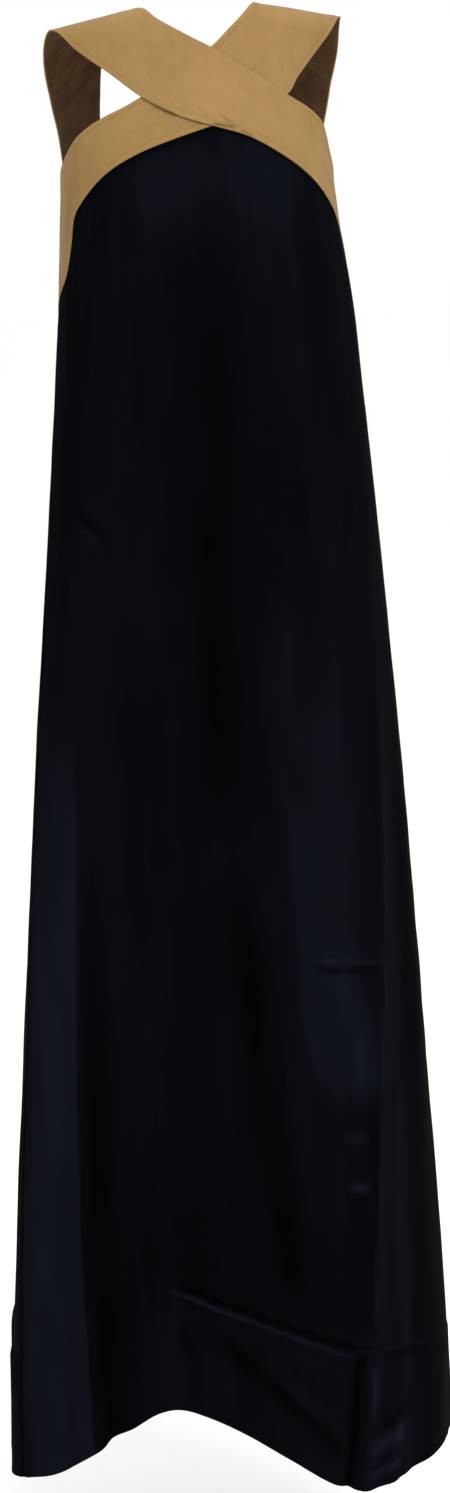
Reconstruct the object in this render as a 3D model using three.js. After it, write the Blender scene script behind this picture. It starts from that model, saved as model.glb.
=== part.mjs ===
// Full-length sleeveless evening dress: a navy-black A-line skirt that hangs from two wide tan
// bands crossed below the throat, with two back straps and a low tan back band.
//
// Units are millimetres, +Z is up and the front faces -Y. The origin is the middle of the shoulder
// line that the straps hang from, so the hem lies near z = -1480. Left and right are as seen from
// the front, so right is +X.
//
// A point of the cloth is given by two numbers. "turn" is the angle round the dress in degrees:
// 0 at the centre front, 90 at the right side seam, 180 at the centre back, 270 or -90 at the
// left side seam. "drop" is the length down the cloth from the shoulder line. Each piece is a wall
// of even thickness over a patch of these two numbers.
import * as THREE from "three";

// ---- cloth and seams ----
const WALL = 1.6; // two layers of cloth at a turned edge, one firm layer elsewhere
const SEAM_GAP = 0.3; // between neighbouring pieces
const CROSSING_LIFT = 2.6; // the upper band passes this far outside the lower one

// ---- the worn form: depths below the shoulder line and reaches from the side seam ----
const CREST_RADIUS = 20; // roundness of the cloth over the shoulder
const BUST_DEPTH = 258;
const DRESS_LENGTH = 1480;
const BACK_DEPTH = 240; // where the back has its full reach
const SHOULDER_HALF = 169; // half breadth of the form at the shoulder line
const CHEST_HALF = 129;
const BUST_HALF_GAIN = 14.5;
const HEM_HALF_GAIN = 92.5;
const FRONT_REACH = { crest: 34, chest: 87, skirt: 29 };
const BACK_REACH = { crest: 36, chest: 62, skirt: 47 };
const BACK_SQUARENESS = 0.5; // how much fuller than an ellipse the back half is
const FLARE_POWER = 1.33; // above 1, the skirt widens faster near the bust than near the hem
const FOLD_POWER = 1.5; // above 1, the hem's folds fade in slowly down the skirt
const SKIRT_SWAY = 6; // the skirt hangs this far to the right of the bodice
const BODICE_LEAN = 2.8; // the bodice sits this far to the left of the shoulders
const SHOULDER_SLOPE = 0.2; // fall of the shoulder line outwards
const SHOULDER_SLOPE_START = 55;
const SHOULDER_TILT = 0.03; // the right shoulder sits a little higher

// The hem in plan, every 15 degrees from the centre front: x, y and z of the edge.
const HEM_OUTLINE = [
  [-5.5, -85, -1457],
  [37.5, -137, -1469],
  [80.5, -184, -1481],
  [124.5, -190, -1481],
  [165.5, -163, -1480],
  [198.5, -118, -1483],
  [220.5, -72, -1485],
  [236.5, -22, -1488],
  [216.5, 52, -1486],
  [168.5, 98, -1482],
  [108.5, 112, -1478],
  [52.5, 140, -1482],
  [-7.5, 152, -1484],
  [-67.5, 130, -1480],
  [-125.5, 112, -1476],
  [-185.5, 90, -1478],
  [-226.5, 36, -1480],
  [-244.5, -44, -1487],
  [-235.5, -98, -1475],
  [-202.5, -112, -1465],
  [-155.5, -84, -1462],
  [-109.5, -56, -1447],
  [-71.5, -45, -1444],
  [-39.5, -58, -1447],
];

// ---- edges of the pieces, as [turn, drop] ----
// The front bands run from their own side seam, over the peak of the front panel at the point
// numbered PEAK, to the opposite shoulder. The lower band is given as if it began on the right
// too, and is mirrored when it is made.
const PEAK = 8;
const OVER_BAND = {
  low: [
    [90, 290], [82.5, 262], [76, 235], [70, 217.5], [60.5, 200], [48, 180], [33, 161],
    [15.5, 140], [0, 128.3], [-13.7, 116.5], [-26.3, 97], [-37.5, 67], [-48.5, 35], [-58.5, 0],
  ],
  high: [
    [90, 186], [79, 172], [69.5, 158], [63.5, 141], [57, 126.5], [45.5, 113.5], [33, 101.5],
    [17.5, 80.5], [4.5, 58.5], [-4, 45], [-11, 33], [-16.2, 23.5], [-19, 10], [-20.6, 0],
  ],
};
const UNDER_BAND = {
  low: [
    [90, 290], [78.8, 270], [73.6, 240], [70.8, 212], [63, 194], [48.5, 170], [32, 152],
    [14, 138], [0, 128.3], [-14, 117.5], [-32, 101.5], [-37.5, 80], [-47.5, 38], [-58.5, 0],
  ],
  high: [
    [90, 165], [81.5, 156], [73, 145], [65, 134.5], [56, 125], [45, 115.2], [32.5, 104.8],
    [19.5, 89.5], [7, 69], [-2.6, 52.3], [-8.8, 36], [-13.8, 23], [-18, 10], [-20.6, 0],
  ],
};
// The back band runs from the right side seam round the back to the left one.
const BACK_BAND = {
  low: [
    [90, 290], [102, 307], [118, 326], [137, 342], [158, 351], [180, 354], [202, 350], [223, 341],
    [242, 326], [258, 308], [270, 290],
  ],
  high: [
    [90, 186], [101, 200], [116, 221], [135, 246], [157, 266], [180, 273], [203, 265], [225, 243],
    [244, 214], [259, 187], [270, 165],
  ],
};
// A back strap runs from the shoulder seam down to the back band, narrowing as it goes.
const BACK_STRAP = {
  outer: [[124.3, 0], [120, 40], [114.2, 80], [107, 120], [109, 160], [118.5, 200], [128.3, 237.9]],
  inner: [[160.2, 0], [150.8, 44], [146.7, 88], [144.1, 131], [145.1, 175], [147.2, 218], [149.5, 260.5]],
};

// ---- how finely each piece is divided ----
const FRONT_STEPS = 2; // steps between two points of a front band's edge
const BACK_STEPS = 3; // steps between two points of the back band's edge
const BAND_ROWS = 4;
const STRAP_LENGTH_STEPS = 12;
const STRAP_ROWS = BACK_STEPS; // a strap's foot shares the back band's points
const FRONT_PANEL_ROWS = 24;
const BACK_PANEL_ROWS = 20;
const ROW_POWER = 1.3; // rows are closer together at the top of a panel

const NAVY = new THREE.MeshStandardMaterial({ color: 0x0c1019, roughness: 0.8, metalness: 0 });
const TAN = new THREE.MeshStandardMaterial({ color: 0xae8c5a, roughness: 0.6, metalness: 0 });

// ---- the form ----
const clamp01 = (x) => Math.min(Math.max(x, 0), 1);
const ease = (x) => clamp01(x) ** 2 * (3 - 2 * clamp01(x));
const skirtShare = (depth) => clamp01((depth - BUST_DEPTH) / (DRESS_LENGTH - BUST_DEPTH));
const flare = (depth) => 1 - (1 - skirtShare(depth)) ** FLARE_POWER;

// Depth below the shoulder line of a length down the cloth: a quarter round, then straight.
function depthOf(drop) {
  const quarter = (CREST_RADIUS * Math.PI) / 2;
  return drop < quarter
    ? CREST_RADIUS * (1 - Math.cos(drop / CREST_RADIUS))
    : drop - quarter + CREST_RADIUS;
}

function dropOf(depth) {
  return depth + (CREST_RADIUS * Math.PI) / 2 - CREST_RADIUS;
}

function crestShare(drop) {
  return drop < (CREST_RADIUS * Math.PI) / 2 ? Math.sin(drop / CREST_RADIUS) : 1;
}

// Half breadth of the form: shoulders, narrower chest, bust, then the flared skirt.
function halfBreadth(depth) {
  const shoulder = (SHOULDER_HALF - CHEST_HALF) * Math.exp(-((depth / 95) ** 2));
  const bust = BUST_HALF_GAIN * clamp01((depth - 110) / (BUST_DEPTH - 110)) ** 1.3;
  return CHEST_HALF + shoulder + bust + HEM_HALF_GAIN * flare(depth);
}

function frontReach(depth, drop) {
  const chest = Math.sin((Math.PI / 2) * clamp01(depth / BUST_DEPTH) ** 1.25);
  return (
    FRONT_REACH.crest * crestShare(drop) +
    FRONT_REACH.chest * chest +
    FRONT_REACH.skirt * flare(depth)
  );
}

function backReach(depth, drop) {
  const blade = Math.sin((Math.PI / 2) * clamp01(depth / BACK_DEPTH) ** 0.9);
  return (
    BACK_REACH.crest * crestShare(drop) +
    BACK_REACH.chest * blade +
    BACK_REACH.skirt * flare(depth)
  );
}

// A point of the level ring at one depth, elliptical in front and squarer behind.
function ringPoint(depth, drop, angle) {
  const breadth = halfBreadth(depth);
  const reach = Math.cos(angle) >= 0 ? frontReach(depth, drop) : backReach(depth, drop);
  const safeReach = Math.abs(reach) < 1e-3 ? 1e-3 : reach;
  const polar = Math.atan2(breadth * Math.sin(angle), safeReach * Math.cos(angle));
  const power = 2 + BACK_SQUARENESS * clamp01(-Math.cos(angle));
  const across = (Math.abs(Math.sin(polar)) / breadth) ** power;
  const along = (Math.abs(Math.cos(polar)) / Math.abs(safeReach)) ** power;
  const radius = (across + along) ** (-1 / power);
  return new THREE.Vector2(radius * Math.sin(polar), -radius * Math.cos(polar));
}

const hemCurve = new THREE.CatmullRomCurve3(
  HEM_OUTLINE.map((p) => new THREE.Vector3(...p)),
  true,
  "catmullrom",
  0.5,
);

// The point of the dress at a turn and a drop.
function clothPoint(turn, drop) {
  const angle = THREE.MathUtils.degToRad(turn);
  const depth = depthOf(drop);
  const ring = ringPoint(depth, drop, angle);
  const plainHem = ringPoint(DRESS_LENGTH, dropOf(DRESS_LENGTH), angle);
  const hem = hemCurve.getPoint(THREE.MathUtils.euclideanModulo(turn / 360, 1));
  const share = skirtShare(depth);
  const fold = share ** FOLD_POWER;
  const lean = ease(depth / 120) * (1 - ease((depth - 250) / 350));
  const x =
    ring.x -
    BODICE_LEAN * lean +
    SKIRT_SWAY * ease((depth - 170) / 150) +
    (hem.x - plainHem.x - SKIRT_SWAY) * fold;
  const y = ring.y + (hem.y - plainHem.y) * fold;
  const slope = SHOULDER_SLOPE * Math.max(Math.abs(x) - SHOULDER_SLOPE_START, 0);
  const z =
    -depth -
    slope * Math.exp(-((depth / 70) ** 2)) +
    SHOULDER_TILT * x * Math.exp(-((depth / 150) ** 2)) +
    (hem.z + DRESS_LENGTH) * share ** 2;
  return new THREE.Vector3(x, y, z);
}

// The direction straight out of the cloth.
function clothNormal(turn, drop) {
  const around = clothPoint(turn + 0.3, drop).sub(clothPoint(turn - 0.3, drop));
  const down = clothPoint(turn, drop + 0.5).sub(clothPoint(turn, drop - 0.5));
  return down.cross(around).normalize();
}

// ---- walls ----
// Moves the points of one edge of a patch inwards, square to the edge, to leave a seam gap.
function drawInEdge(edge, next) {
  return edge.map((p, i) => {
    const before = edge[Math.max(i - 1, 0)];
    const after = edge[Math.min(i + 1, edge.length - 1)];
    const tangent = after.clone().sub(before).normalize();
    const inward = next[i].clone().sub(p);
    inward.addScaledVector(tangent, -inward.dot(tangent)).setLength(SEAM_GAP / 2);
    return p.clone().add(inward);
  });
}

function drawInSeams(points) {
  const last = points.length - 1;
  let rows = points.map((row) => row.slice());
  rows[0] = drawInEdge(points[0], points[1]);
  rows[last] = drawInEdge(points[last], points[last - 1]);
  const column = (j) => rows.map((row) => row[j]);
  const end = rows[0].length - 1;
  const first = drawInEdge(column(0), column(1));
  const final = drawInEdge(column(end), column(end - 1));
  rows = rows.map((row, i) => [first[i], ...row.slice(1, end), final[i]]);
  return rows;
}

function signedVolume(positions, triangles) {
  const corner = (i) => new THREE.Vector3().fromArray(positions, 3 * i);
  let total = 0;
  for (let i = 0; i < triangles.length; i += 3) {
    const [a, b, c] = [corner(triangles[i]), corner(triangles[i + 1]), corner(triangles[i + 2])];
    total += a.dot(b.cross(c)) / 6;
  }
  return total;
}

// A closed wall over a patch. at(i, j) gives [turn, drop, lift] for i in 0..m and j in 0..n.
function wall(name, material, m, n, at) {
  const patch = Array.from({ length: m + 1 }, (_, i) =>
    Array.from({ length: n + 1 }, (_, j) => at(i, j)),
  );
  const inner = drawInSeams(patch.map((row) => row.map(([turn, drop]) => clothPoint(turn, drop))));
  const positions = [];
  for (const outward of [0, WALL]) {
    patch.forEach((row, i) =>
      row.forEach(([turn, drop, lift = 0], j) => {
        const p = inner[i][j].clone().addScaledVector(clothNormal(turn, drop), lift + outward);
        positions.push(p.x, p.y, p.z);
      }),
    );
  }
  const count = (m + 1) * (n + 1);
  const id = (i, j) => i * (n + 1) + j;
  const triangles = [];
  const quad = (a, b, c, d) => triangles.push(a, b, c, a, c, d);
  for (let i = 0; i < m; i++) {
    for (let j = 0; j < n; j++) {
      const [a, b, c, d] = [id(i, j), id(i + 1, j), id(i + 1, j + 1), id(i, j + 1)];
      quad(a, b, c, d);
      quad(count + d, count + c, count + b, count + a);
    }
  }
  const rim = [];
  for (let i = 0; i < m; i++) rim.push(id(i, 0));
  for (let j = 0; j < n; j++) rim.push(id(m, j));
  for (let i = m; i > 0; i--) rim.push(id(i, n));
  for (let j = n; j > 0; j--) rim.push(id(0, j));
  rim.forEach((a, k) => {
    const b = rim[(k + 1) % rim.length];
    quad(a, count + a, count + b, b);
  });
  if (signedVolume(positions, triangles) < 0) triangles.reverse();
  const geometry = new THREE.BufferGeometry();
  geometry.setAttribute("position", new THREE.Float32BufferAttribute(positions, 3));
  geometry.setIndex(triangles);
  geometry.computeVertexNormals();
  const mesh = new THREE.Mesh(geometry, material);
  mesh.name = name;
  return mesh;
}

// ---- pieces ----
const curveThrough = (points) => new THREE.SplineCurve(points.map((p) => new THREE.Vector2(...p)));
const overLow = curveThrough(OVER_BAND.low);
const underLow = curveThrough(UNDER_BAND.low);
const backLow = curveThrough(BACK_BAND.low);
const backHigh = curveThrough(BACK_BAND.high);

// A band between two edges. side is 1 from the right side seam, -1 from the left one.
function band(name, edges, steps, side = 1, liftAt = () => 0) {
  const low = curveThrough(edges.low);
  const high = curveThrough(edges.high);
  const intervals = edges.low.length - 1;
  const m = intervals * steps;
  return wall(name, TAN, m, BAND_ROWS, (i, j) => {
    const p = low.getPoint(i / m).lerp(high.getPoint(i / m), j / BAND_ROWS);
    return [side * p.x, p.y, liftAt(i / steps)];
  });
}

// The upper band is lifted where the two cross and comes back down towards both its ends.
function crossingLift(k) {
  return CROSSING_LIFT * ease((k - 4.6) / 1.6) * (1 - ease((k - 10.4) / 2.4));
}

// Points of a panel: columns run from the top edge straight down to the hem.
function panel(name, m, rows, topAt, firstTurn, lastTurn) {
  return wall(name, NAVY, m, rows, (i, j) => {
    const top = topAt(i);
    const foot = new THREE.Vector2(
      THREE.MathUtils.lerp(firstTurn, lastTurn, i / m),
      dropOf(DRESS_LENGTH),
    );
    const p = top.lerp(foot, (j / rows) ** ROW_POWER);
    return [p.x, p.y];
  });
}

function frontPanel() {
  const half = PEAK * FRONT_STEPS;
  const along = (curve, i) => curve.getPoint(i / ((OVER_BAND.low.length - 1) * FRONT_STEPS));
  const topAt = (i) => {
    if (i >= half) return along(overLow, 2 * half - i);
    const p = along(underLow, i);
    return p.set(-p.x, p.y);
  };
  return panel("front_panel", 2 * half, FRONT_PANEL_ROWS, topAt, -90, 90);
}

function backPanel() {
  const m = (BACK_BAND.low.length - 1) * BACK_STEPS;
  return panel("back_panel", m, BACK_PANEL_ROWS, (i) => backLow.getPoint(i / m), 90, 270);
}

// side is 1 for the right strap, -1 for the left one. The foot follows the back band's top edge.
function backStrap(name, side) {
  const outer = curveThrough(BACK_STRAP.outer);
  const inner = curveThrough(BACK_STRAP.inner);
  const intervals = BACK_BAND.high.length - 1;
  const footStart = 2 + 2 / BACK_STEPS; // the strap's outer corner, in points along the band
  return wall(name, TAN, STRAP_LENGTH_STEPS, STRAP_ROWS, (i, j) => {
    const k = i / STRAP_LENGTH_STEPS;
    const across = j / STRAP_ROWS;
    const p = outer.getPoint(k).lerp(inner.getPoint(k), across);
    const end = outer.getPoint(1).lerp(inner.getPoint(1), across);
    const place = footStart + across;
    const foot = backHigh.getPoint((side > 0 ? place : intervals - place) / intervals);
    if (side < 0) foot.x = 360 - foot.x;
    p.addScaledVector(foot.sub(end), k ** 2);
    return [side * p.x, p.y];
  });
}

const dress = new THREE.Group();
dress.name = "evening_dress";
dress.add(
  frontPanel(),
  backPanel(),
  band("front_band_under", UNDER_BAND, FRONT_STEPS, -1),
  band("front_band_over", OVER_BAND, FRONT_STEPS, 1, crossingLift),
  band("back_band", BACK_BAND, BACK_STEPS),
  backStrap("back_strap_left", -1),
  backStrap("back_strap_right", 1),
);

export default dress;
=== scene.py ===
"""An evening dress in its worn, hollow form: a navy A-line skirt hung from two tan bands that
cross below the throat, with two back straps and a low tan back band.

The cloth is described in millimetres, as in the part. A point of the cloth has a turn, the angle
round the dress in degrees (0 centre front, 90 right side seam, 180 centre back, 270 or -90 left
side seam), and a drop, the length down the cloth from the shoulder line. +Z is up, -Y is the
front, +X is right as seen from the front.
"""
import math

import bpy
import numpy as np
from mathutils import Matrix, Vector


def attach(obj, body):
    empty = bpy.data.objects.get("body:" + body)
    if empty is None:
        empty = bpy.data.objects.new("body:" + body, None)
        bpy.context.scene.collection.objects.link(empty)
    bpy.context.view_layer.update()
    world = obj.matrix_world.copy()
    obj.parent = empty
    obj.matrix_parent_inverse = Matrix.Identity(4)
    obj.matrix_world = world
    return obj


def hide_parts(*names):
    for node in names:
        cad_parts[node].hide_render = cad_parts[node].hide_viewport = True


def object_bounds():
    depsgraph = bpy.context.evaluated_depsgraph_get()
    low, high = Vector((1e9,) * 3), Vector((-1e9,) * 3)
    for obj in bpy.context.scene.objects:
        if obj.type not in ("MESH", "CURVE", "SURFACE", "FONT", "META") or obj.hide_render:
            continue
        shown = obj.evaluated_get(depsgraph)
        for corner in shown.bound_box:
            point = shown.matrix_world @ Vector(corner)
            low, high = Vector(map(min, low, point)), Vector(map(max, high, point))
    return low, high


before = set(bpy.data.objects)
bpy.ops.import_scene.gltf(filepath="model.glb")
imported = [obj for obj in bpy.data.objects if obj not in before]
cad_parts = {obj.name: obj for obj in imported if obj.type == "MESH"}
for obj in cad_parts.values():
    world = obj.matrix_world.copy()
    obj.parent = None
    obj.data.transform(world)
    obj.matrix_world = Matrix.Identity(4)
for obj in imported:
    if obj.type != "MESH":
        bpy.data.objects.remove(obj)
cad_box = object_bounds()

MM = 0.001
ROOT = "root"

# ---- the worn form, the same as the part's ----
SEAM_GAP = 0.3
CREST_RADIUS = 20
BUST_START = 110
BUST_DEPTH = 258
BACK_DEPTH = 240
DRESS_LENGTH = 1480
SHOULDER_HALF = 169
SHOULDER_FALL = 95
CHEST_HALF = 129
BUST_HALF_GAIN = 14.5
BUST_POWER = 1.3
HEM_HALF_GAIN = 92.5
FRONT_REACH = {"crest": 34, "chest": 87, "skirt": 29, "depth": BUST_DEPTH, "power": 1.25}
BACK_REACH = {"crest": 36, "chest": 62, "skirt": 47, "depth": BACK_DEPTH, "power": 0.9}
BACK_SQUARENESS = 0.5
FLARE_POWER = 1.33
FOLD_POWER = 1.5
SKIRT_SWAY = 6
SWAY_DEPTHS = (170, 320)
BODICE_LEAN = 2.8
LEAN_STARTS = (0, 120)
LEAN_ENDS = (250, 600)
SHOULDER_SLOPE = 0.2
SHOULDER_SLOPE_START = 55
SHOULDER_SLOPE_FALL = 70
SHOULDER_TILT = 0.03
SHOULDER_TILT_FALL = 150

# The hem in plan, every 15 degrees from the centre front: x, y and z of the edge.
HEM_OUTLINE = np.array([
    [-5.5, -85, -1457], [37.5, -137, -1469], [80.5, -184, -1481], [124.5, -190, -1481],
    [165.5, -163, -1480], [198.5, -118, -1483], [220.5, -72, -1485], [236.5, -22, -1488],
    [216.5, 52, -1486], [168.5, 98, -1482], [108.5, 112, -1478], [52.5, 140, -1482],
    [-7.5, 152, -1484], [-67.5, 130, -1480], [-125.5, 112, -1476], [-185.5, 90, -1478],
    [-226.5, 36, -1480], [-244.5, -44, -1487], [-235.5, -98, -1475], [-202.5, -112, -1465],
    [-155.5, -84, -1462], [-109.5, -56, -1447], [-71.5, -45, -1444], [-39.5, -58, -1447],
], float)

# ---- edges of the pieces, as [turn, drop], the same as the part's ----
PEAK = 8  # the point of both front bands' low edges that lies at the centre front
OVER_BAND = {
    "low": [
        [90, 290], [82.5, 262], [76, 235], [70, 217.5], [60.5, 200], [48, 180], [33, 161],
        [15.5, 140], [0, 128.3], [-13.7, 116.5], [-26.3, 97], [-37.5, 67], [-48.5, 35],
        [-58.5, 0],
    ],
    "high": [
        [90, 186], [79, 172], [69.5, 158], [63.5, 141], [57, 126.5], [45.5, 113.5], [33, 101.5],
        [17.5, 80.5], [4.5, 58.5], [-4, 45], [-11, 33], [-16.2, 23.5], [-19, 10], [-20.6, 0],
    ],
}
UNDER_BAND = {
    "low": [
        [90, 290], [78.8, 270], [73.6, 240], [70.8, 212], [63, 194], [48.5, 170], [32, 152],
        [14, 138], [0, 128.3], [-14, 117.5], [-32, 101.5], [-37.5, 80], [-47.5, 38], [-58.5, 0],
    ],
    "high": [
        [90, 165], [81.5, 156], [73, 145], [65, 134.5], [56, 125], [45, 115.2], [32.5, 104.8],
        [19.5, 89.5], [7, 69], [-2.6, 52.3], [-8.8, 36], [-13.8, 23], [-18, 10], [-20.6, 0],
    ],
}
BACK_BAND = {
    "low": [
        [90, 290], [102, 307], [118, 326], [137, 342], [158, 351], [180, 354], [202, 350],
        [223, 341], [242, 326], [258, 308], [270, 290],
    ],
    "high": [
        [90, 186], [101, 200], [116, 221], [135, 246], [157, 266], [180, 273], [203, 265],
        [225, 243], [244, 214], [259, 187], [270, 165],
    ],
}
BACK_STRAP = {
    "outer": [
        [124.3, 0], [120, 40], [114.2, 80], [107, 120], [109, 160], [118.5, 200], [128.3, 237.9],
    ],
    "inner": [
        [160.2, 0], [150.8, 44], [146.7, 88], [144.1, 131], [145.1, 175], [147.2, 218],
        [149.5, 260.5],
    ],
}
STRAP_FOOT = 2 + 2 / 3  # where a strap's outer corner stands on the back band, in its points

# ---- the cloth and how its pieces lie on each other ----
NAVY_CLOTH = {"inside": 0.3, "thick": 0.8}
TAN_CLOTH = {"inside": 0.0, "thick": 1.5}  # two layers, pressed
# The upper front band rises just clear of the lower one's cloth. It starts to rise and to come
# down again at these points along the band, over these lengths.
CROSSING_LIFT = 1.65
RISE_START, RISE_LENGTH = 4.6, 1.6
FALL_START, FALL_LENGTH = 10.4, 2.4
TUCK = 3.5  # how far the front panel goes under the band that is lifted off it
STITCH_INSET = 5  # the stitch line of a band, from its edge

# ---- how finely the cloth is made ----
BAND_STEPS, BAND_ROWS = 260, 52
STRAP_STEPS, STRAP_ROWS = 120, 32
FRONT_TOP_STEPS = 9  # between two points of a band's edge
BACK_TOP_STEPS = 160
FRONT_ROWS, BACK_ROWS = 315, 270
HEM_LINE_SHARE = 0.905  # where the rows of a panel crowd together, as a share of its length
HEM_LINE_CROWDING = 2.6
HEM_LINE_REACH = 0.02

SEEDS = {
    "front_panel": 11,
    "back_panel": 23,
    "front_band_under": 31,
    "front_band_over": 37,
    "back_band": 41,
    "back_strap_left": 49,
    "back_strap_right": 51,
    "painted_contact_shadow": 61,
}


# ======================================================================== the form
def ease(x):
    x = np.clip(x, 0, 1)
    return x * x * (3 - 2 * x)


def ramp(x, start, end):
    return ease((x - start) / (end - start))


def bell(x, width):
    """1 where x is 0, falling away to both sides over about the width."""
    return np.exp(-((x / width) ** 2))


def skirt_share(depth):
    return np.clip((depth - BUST_DEPTH) / (DRESS_LENGTH - BUST_DEPTH), 0, 1)


def flare(depth):
    return 1 - (1 - skirt_share(depth)) ** FLARE_POWER


QUARTER = CREST_RADIUS * math.pi / 2


def depth_of(drop):
    return np.where(
        drop < QUARTER,
        CREST_RADIUS * (1 - np.cos(drop / CREST_RADIUS)),
        drop - QUARTER + CREST_RADIUS,
    )


HEM_DROP = DRESS_LENGTH + QUARTER - CREST_RADIUS


def crest_share(drop):
    return np.where(drop < QUARTER, np.sin(np.minimum(drop, QUARTER) / CREST_RADIUS), 1.0)


def half_breadth(depth):
    shoulder = (SHOULDER_HALF - CHEST_HALF) * bell(depth, SHOULDER_FALL)
    bust_share = np.clip((depth - BUST_START) / (BUST_DEPTH - BUST_START), 0, 1)
    bust = BUST_HALF_GAIN * bust_share**BUST_POWER
    return CHEST_HALF + shoulder + bust + HEM_HALF_GAIN * flare(depth)


def reach(parts, depth, drop):
    """How far the front or the back stands off the middle plane."""
    chest = np.sin(math.pi / 2 * np.clip(depth / parts["depth"], 0, 1) ** parts["power"])
    crest = parts["crest"] * crest_share(drop)
    return crest + parts["chest"] * chest + parts["skirt"] * flare(depth)


def ring_point(depth, drop, angle):
    """A point of the level ring at one depth, elliptical in front and squarer behind."""
    breadth = half_breadth(depth)
    front = reach(FRONT_REACH, depth, drop)
    back = reach(BACK_REACH, depth, drop)
    out = np.where(np.cos(angle) >= 0, front, back)
    out = np.where(np.abs(out) < 1e-3, 1e-3, out)
    polar = np.arctan2(breadth * np.sin(angle), out * np.cos(angle))
    power = 2 + BACK_SQUARENESS * np.clip(-np.cos(angle), 0, 1)
    across = (np.abs(np.sin(polar)) / breadth) ** power
    along = (np.abs(np.cos(polar)) / np.abs(out)) ** power
    radius = (across + along) ** (-1 / power)
    return radius * np.sin(polar), -radius * np.cos(polar)


def catmull(a, b, c, d, u):
    """Catmull-Rom curve from b, at u = 0, to c, at u = 1."""
    square, cube = 2 * a - 5 * b + 4 * c - d, 3 * b - a - 3 * c + d
    return 0.5 * (2 * b + (c - a) * u + square * u**2 + cube * u**3)


def hem_point(turn):
    n = len(HEM_OUTLINE)
    k = np.mod(turn / 360 * n, n)
    i = np.floor(k).astype(int) % n
    u = (k - np.floor(k))[..., None]
    near = [HEM_OUTLINE[(i + step) % n] for step in (-1, 0, 1, 2)]
    return catmull(*near, u)


def cloth_point(turn, drop):
    """The point of the dress at a turn and a drop, in millimetres."""
    turn, drop = np.broadcast_arrays(np.asarray(turn, float), np.asarray(drop, float))
    angle = np.radians(turn)
    depth = depth_of(drop)
    x, y = ring_point(depth, drop, angle)
    hem_ring = np.full_like(drop, DRESS_LENGTH), np.full_like(drop, HEM_DROP)
    plain_x, plain_y = ring_point(*hem_ring, angle)
    hem = hem_point(turn)
    share = skirt_share(depth)
    fold = share**FOLD_POWER
    lean = ramp(depth, *LEAN_STARTS) * (1 - ramp(depth, *LEAN_ENDS))
    sway = SKIRT_SWAY * ramp(depth, *SWAY_DEPTHS)
    x = x - BODICE_LEAN * lean + sway + (hem[..., 0] - plain_x - SKIRT_SWAY) * fold
    y = y + (hem[..., 1] - plain_y) * fold
    slope = SHOULDER_SLOPE * np.maximum(np.abs(x) - SHOULDER_SLOPE_START, 0)
    z = (
        -depth
        - slope * bell(depth, SHOULDER_SLOPE_FALL)
        + SHOULDER_TILT * x * bell(depth, SHOULDER_TILT_FALL)
        + (hem[..., 2] + DRESS_LENGTH) * share**2
    )
    return np.stack([x, y, z], -1)


def unit(v):
    return v / np.maximum(np.linalg.norm(v, axis=-1, keepdims=True), 1e-12)


def cloth_normal(turn, drop):
    """The outward normal of the form, from small steps of turn and drop."""
    around = cloth_point(turn + 0.3, drop) - cloth_point(turn - 0.3, drop)
    down = cloth_point(turn, drop + 0.5) - cloth_point(turn, drop - 0.5)
    return unit(np.cross(down, around))


def spline(points, k):
    """A smooth curve through the points, k from 0 to 1, evenly shared between them."""
    p = np.array(points, float)
    n = len(p) - 1
    place = np.clip(np.asarray(k, float), 0, 1) * n
    i = np.minimum(np.floor(place).astype(int), n - 1)
    u = (place - i)[..., None]
    return catmull(p[np.maximum(i - 1, 0)], p[i], p[i + 1], p[np.minimum(i + 2, n)], u)


# ======================================================================== relief
CHEST_GIRTH_SCALE = 2.35
HEM_GIRTH_GAIN = 1.6
MEAN_GIRTH_SCALE = 3


def girth_scale(drop):
    """Millimetres of cloth for each degree of turn."""
    return CHEST_GIRTH_SCALE + HEM_GIRTH_GAIN * skirt_share(depth_of(drop))


def soft_noise(u, v, seed):
    """Smooth noise from -1 to 1 over a plane, with a period of one unit."""
    size = 64
    table = np.random.default_rng(seed).uniform(-1, 1, (size, size))
    i, j = np.floor(u).astype(int), np.floor(v).astype(int)
    fu, fv = ease(u - i), ease(v - j)

    def corner(a, b):
        return table[(i + a) % size, (j + b) % size]

    low = corner(0, 0) * (1 - fu) + corner(1, 0) * fu
    high = corner(0, 1) * (1 - fu) + corner(1, 1) * fu
    return low * (1 - fv) + high * fv


def panel_noise(girth, drop, layers, seed):
    """Sums soft noises, each of a strength and the size of its patches round and down, in mm."""
    return sum(
        strength * soft_noise(girth / wide, drop / tall, seed + k)
        for k, (strength, wide, tall) in enumerate(layers)
    )


def band_noise(along, across, layers, seed):
    """Sums soft noises, each of a strength, its patches' length in mm and their count across."""
    return sum(
        strength * soft_noise(along / length, across * count, seed + k)
        for k, (strength, length, count) in enumerate(layers)
    )


def near_path(turn, drop, path):
    """Distance to a path over the cloth, signed, and the share of the path's length there."""
    points = np.array(path, float)
    scale = girth_scale(drop)
    best = np.full(turn.shape, np.inf)
    signed = np.zeros(turn.shape)
    share = np.zeros(turn.shape)
    lengths = [
        math.hypot((b[0] - a[0]) * MEAN_GIRTH_SCALE, b[1] - a[1])
        for a, b in zip(points[:-1], points[1:])
    ]
    total, gone = sum(lengths), 0.0
    for (a, b), length in zip(zip(points[:-1], points[1:]), lengths):
        ax, ay = (turn - a[0]) * scale, drop - a[1]
        bx, by = (b[0] - a[0]) * scale, b[1] - a[1]
        square = bx * bx + by * by
        u = np.clip((ax * bx + ay * by) / square, 0, 1)
        dx, dy = ax - u * bx, ay - u * by
        distance = np.hypot(dx, dy)
        closer = distance < best
        best = np.where(closer, distance, best)
        side = np.sign(bx * dy - by * dx)
        signed = np.where(closer, side * distance, signed)
        share = np.where(closer, (gone + u * length) / total, share)
        gone += length
    return signed, share


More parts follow.
